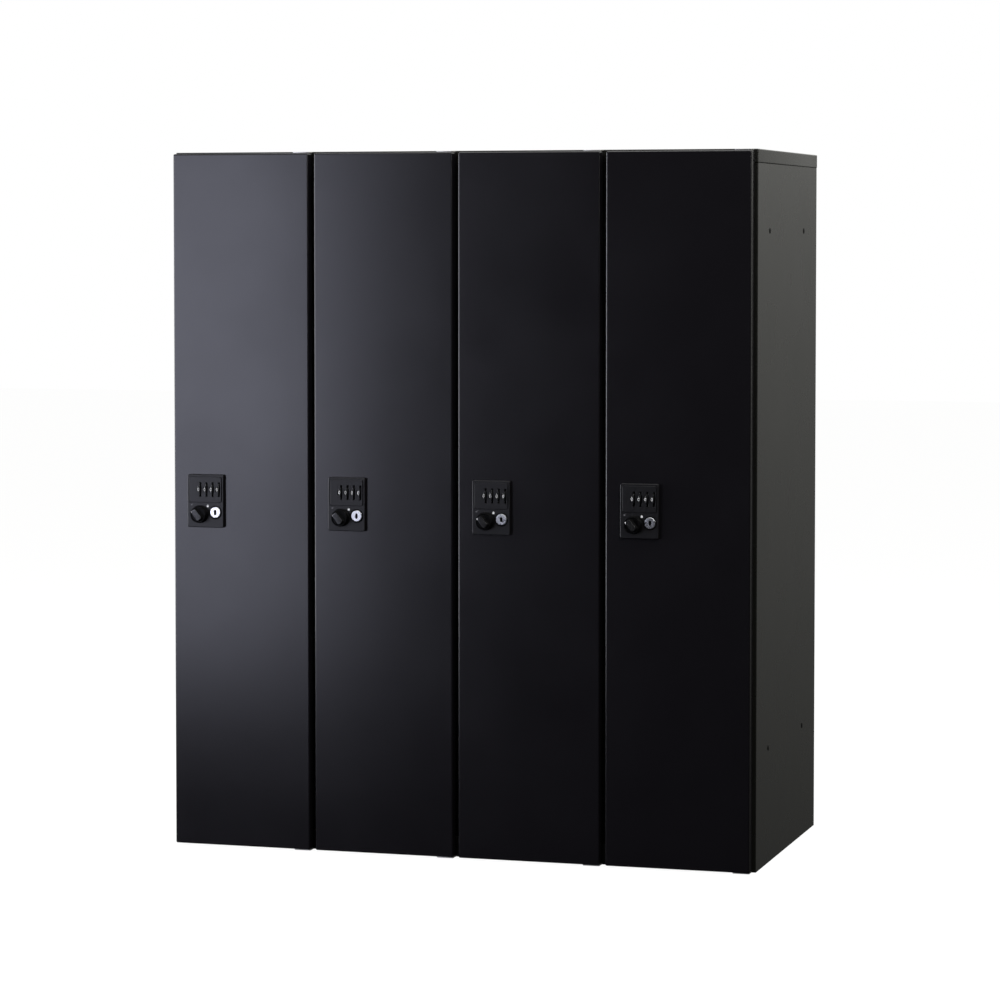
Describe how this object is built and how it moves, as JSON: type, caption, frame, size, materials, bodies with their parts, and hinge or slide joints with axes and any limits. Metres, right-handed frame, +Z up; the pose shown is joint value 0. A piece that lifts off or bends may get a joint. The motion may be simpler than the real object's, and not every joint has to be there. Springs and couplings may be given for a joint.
{
  "type": "locker cabinet",
  "caption": "Free-standing sheet-steel locker cabinet: a row of tall hinged doors, each with a combination lock, knob and key override, closing a compartment with a hat shelf.",
  "frame": {"origin": "on the floor, under the middle of the box from the knobs' front to the top cap's back edge", "axes": "+Z up, the doors face -Y, +X to the right as seen from the front"},
  "size_m": [0.9, 0.4726, 1.05],
  "materials": {
    "body_paint": "satin powder coat, near black",
    "door_paint": "satin powder coat, near black",
    "lock_plastic": "fine matt, near black",
    "knob_plastic": "fine matt, black",
    "dial_plastic": "smooth matt, black",
    "chrome": "bright plated",
    "zinc_steel": "zinc plated, dull"
  },
  "bodies": {
    "cabinet": {"left_side_panel": "body_paint", "right_side_panel": "body_paint", "top_cap": "body_paint", "bottom_panel": "body_paint", "back_panel": "body_paint", "partition_1": "body_paint", "partition_2": "body_paint", "partition_3": "body_paint", "shelf_1": "body_paint", "hinge_bottom_1": "zinc_steel", "hinge_top_1": "zinc_steel", "shelf_2": "body_paint", "hinge_bottom_2": "zinc_steel", "hinge_top_2": "zinc_steel", "shelf_3": "body_paint", "hinge_bottom_3": "zinc_steel", "hinge_top_3": "zinc_steel", "shelf_4": "body_paint", "hinge_bottom_4": "zinc_steel", "hinge_top_4": "zinc_steel"},
    "door_1": {"door_shell_1": "door_paint", "door_liner_1": "body_paint", "lock_case_1": "lock_plastic"},
    "latch_1": {"knob_1": "knob_plastic", "latch_cam_1": "zinc_steel"},
    "plug_1": {"key_plug_1": "chrome"},
    "wheel_1a": {"dial_1a": "dial_plastic"},
    "wheel_1b": {"dial_1b": "dial_plastic"},
    "wheel_1c": {"dial_1c": "dial_plastic"},
    "wheel_1d": {"dial_1d": "dial_plastic"},
    "door_2": {"door_shell_2": "door_paint", "door_liner_2": "body_paint", "lock_case_2": "lock_plastic"},
    "latch_2": {"knob_2": "knob_plastic", "latch_cam_2": "zinc_steel"},
    "plug_2": {"key_plug_2": "chrome"},
    "wheel_2a": {"dial_2a": "dial_plastic"},
    "wheel_2b": {"dial_2b": "dial_plastic"},
    "wheel_2c": {"dial_2c": "dial_plastic"},
    "wheel_2d": {"dial_2d": "dial_plastic"},
    "door_3": {"door_shell_3": "door_paint", "door_liner_3": "body_paint", "lock_case_3": "lock_plastic"},
    "latch_3": {"knob_3": "knob_plastic", "latch_cam_3": "zinc_steel"},
    "plug_3": {"key_plug_3": "chrome"},
    "wheel_3a": {"dial_3a": "dial_plastic"},
    "wheel_3b": {"dial_3b": "dial_plastic"},
    "wheel_3c": {"dial_3c": "dial_plastic"},
    "wheel_3d": {"dial_3d": "dial_plastic"},
    "door_4": {"door_shell_4": "door_paint", "door_liner_4": "body_paint", "lock_case_4": "lock_plastic"},
    "latch_4": {"knob_4": "knob_plastic", "latch_cam_4": "zinc_steel"},
    "plug_4": {"key_plug_4": "chrome"},
    "wheel_4a": {"dial_4a": "dial_plastic"},
    "wheel_4b": {"dial_4b": "dial_plastic"},
    "wheel_4c": {"dial_4c": "dial_plastic"},
    "wheel_4d": {"dial_4d": "dial_plastic"}
  },
  "joints": [
    {"name": "door_1_swing", "type": "hinge", "parent": "cabinet", "child": "door_1", "pos_m": [-0.2355, -0.20365, 0.525], "axis": [0, 0, 1], "range_deg": [0, 105]},
    {"name": "knob_1_turn", "type": "hinge", "parent": "door_1", "child": "latch_1", "pos_m": [-0.402, -0.21365, 0.505], "axis": [0, 1, 0], "range_deg": [0, 90]},
    {"name": "key_plug_1_turn", "type": "hinge", "parent": "door_1", "child": "plug_1", "pos_m": [-0.377, -0.21365, 0.508], "axis": [0, 1, 0], "range_deg": [0, 90]},
    {"name": "dial_1a_spin", "type": "hinge", "parent": "door_1", "child": "wheel_1a", "pos_m": [-0.403, -0.21185, 0.5425], "axis": [1, 0, 0], "continuous": true},
    {"name": "dial_1b_spin", "type": "hinge", "parent": "door_1", "child": "wheel_1b", "pos_m": [-0.393, -0.21185, 0.5425], "axis": [1, 0, 0], "continuous": true},
    {"name": "dial_1c_spin", "type": "hinge", "parent": "door_1", "child": "wheel_1c", "pos_m": [-0.383, -0.21185, 0.5425], "axis": [1, 0, 0], "continuous": true},
    {"name": "dial_1d_spin", "type": "hinge", "parent": "door_1", "child": "wheel_1d", "pos_m": [-0.373, -0.21185, 0.5425], "axis": [1, 0, 0], "continuous": true},
    {"name": "door_2_swing", "type": "hinge", "parent": "cabinet", "child": "door_2", "pos_m": [-0.0105, -0.20365, 0.525], "axis": [0, 0, 1], "range_deg": [0, 105]},
    {"name": "knob_2_turn", "type": "hinge", "parent": "door_2", "child": "latch_2", "pos_m": [-0.177, -0.21365, 0.505], "axis": [0, 1, 0], "range_deg": [0, 90]},
    {"name": "key_plug_2_turn", "type": "hinge", "parent": "door_2", "child": "plug_2", "pos_m": [-0.152, -0.21365, 0.508], "axis": [0, 1, 0], "range_deg": [0, 90]},
    {"name": "dial_2a_spin", "type": "hinge", "parent": "door_2", "child": "wheel_2a", "pos_m": [-0.178, -0.21185, 0.5425], "axis": [1, 0, 0], "continuous": true},
    {"name": "dial_2b_spin", "type": "hinge", "parent": "door_2", "child": "wheel_2b", "pos_m": [-0.168, -0.21185, 0.5425], "axis": [1, 0, 0], "continuous": true},
    {"name": "dial_2c_spin", "type": "hinge", "parent": "door_2", "child": "wheel_2c", "pos_m": [-0.158, -0.21185, 0.5425], "axis": [1, 0, 0], "continuous": true},
    {"name": "dial_2d_spin", "type": "hinge", "parent": "door_2", "child": "wheel_2d", "pos_m": [-0.148, -0.21185, 0.5425], "axis": [1, 0, 0], "continuous": true},
    {"name": "door_3_swing", "type": "hinge", "parent": "cabinet", "child": "door_3", "pos_m": [0.2145, -0.20365, 0.525], "axis": [0, 0, 1], "range_deg": [0, 105]},
    {"name": "knob_3_turn", "type": "hinge", "parent": "door_3", "child": "latch_3", "pos_m": [0.048, -0.21365, 0.505], "axis": [0, 1, 0], "range_deg": [0, 90]},
    {"name": "key_plug_3_turn", "type": "hinge", "parent": "door_3", "child": "plug_3", "pos_m": [0.073, -0.21365, 0.508], "axis": [0, 1, 0], "range_deg": [0, 90]},
    {"name": "dial_3a_spin", "type": "hinge", "parent": "door_3", "child": "wheel_3a", "pos_m": [0.047, -0.21185, 0.5425], "axis": [1, 0, 0], "continuous": true},
    {"name": "dial_3b_spin", "type": "hinge", "parent": "door_3", "child": "wheel_3b", "pos_m": [0.057, -0.21185, 0.5425], "axis": [1, 0, 0], "continuous": true},
    {"name": "dial_3c_spin", "type": "hinge", "parent": "door_3", "child": "wheel_3c", "pos_m": [0.067, -0.21185, 0.5425], "axis": [1, 0, 0], "continuous": true},
    {"name": "dial_3d_spin", "type": "hinge", "parent": "door_3", "child": "wheel_3d", "pos_m": [0.077, -0.21185, 0.5425], "axis": [1, 0, 0], "continuous": true},
    {"name": "door_4_swing", "type": "hinge", "parent": "cabinet", "child": "door_4", "pos_m": [0.4395, -0.20365, 0.525], "axis": [0, 0, 1], "range_deg": [0, 105]},
    {"name": "knob_4_turn", "type": "hinge", "parent": "door_4", "child": "latch_4", "pos_m": [0.273, -0.21365, 0.505], "axis": [0, 1, 0], "range_deg": [0, 90]},
    {"name": "key_plug_4_turn", "type": "hinge", "parent": "door_4", "child": "plug_4", "pos_m": [0.298, -0.21365, 0.508], "axis": [0, 1, 0], "range_deg": [0, 90]},
    {"name": "dial_4a_spin", "type": "hinge", "parent": "door_4", "child": "wheel_4a", "pos_m": [0.272, -0.21185, 0.5425], "axis": [1, 0, 0], "continuous": true},
    {"name": "dial_4b_spin", "type": "hinge", "parent": "door_4", "child": "wheel_4b", "pos_m": [0.282, -0.21185, 0.5425], "axis": [1, 0, 0], "continuous": true},
    {"name": "dial_4c_spin", "type": "hinge", "parent": "door_4", "child": "wheel_4c", "pos_m": [0.292, -0.21185, 0.5425], "axis": [1, 0, 0], "continuous": true},
    {"name": "dial_4d_spin", "type": "hinge", "parent": "door_4", "child": "wheel_4d", "pos_m": [0.302, -0.21185, 0.5425], "axis": [1, 0, 0], "continuous": true}
  ]
}
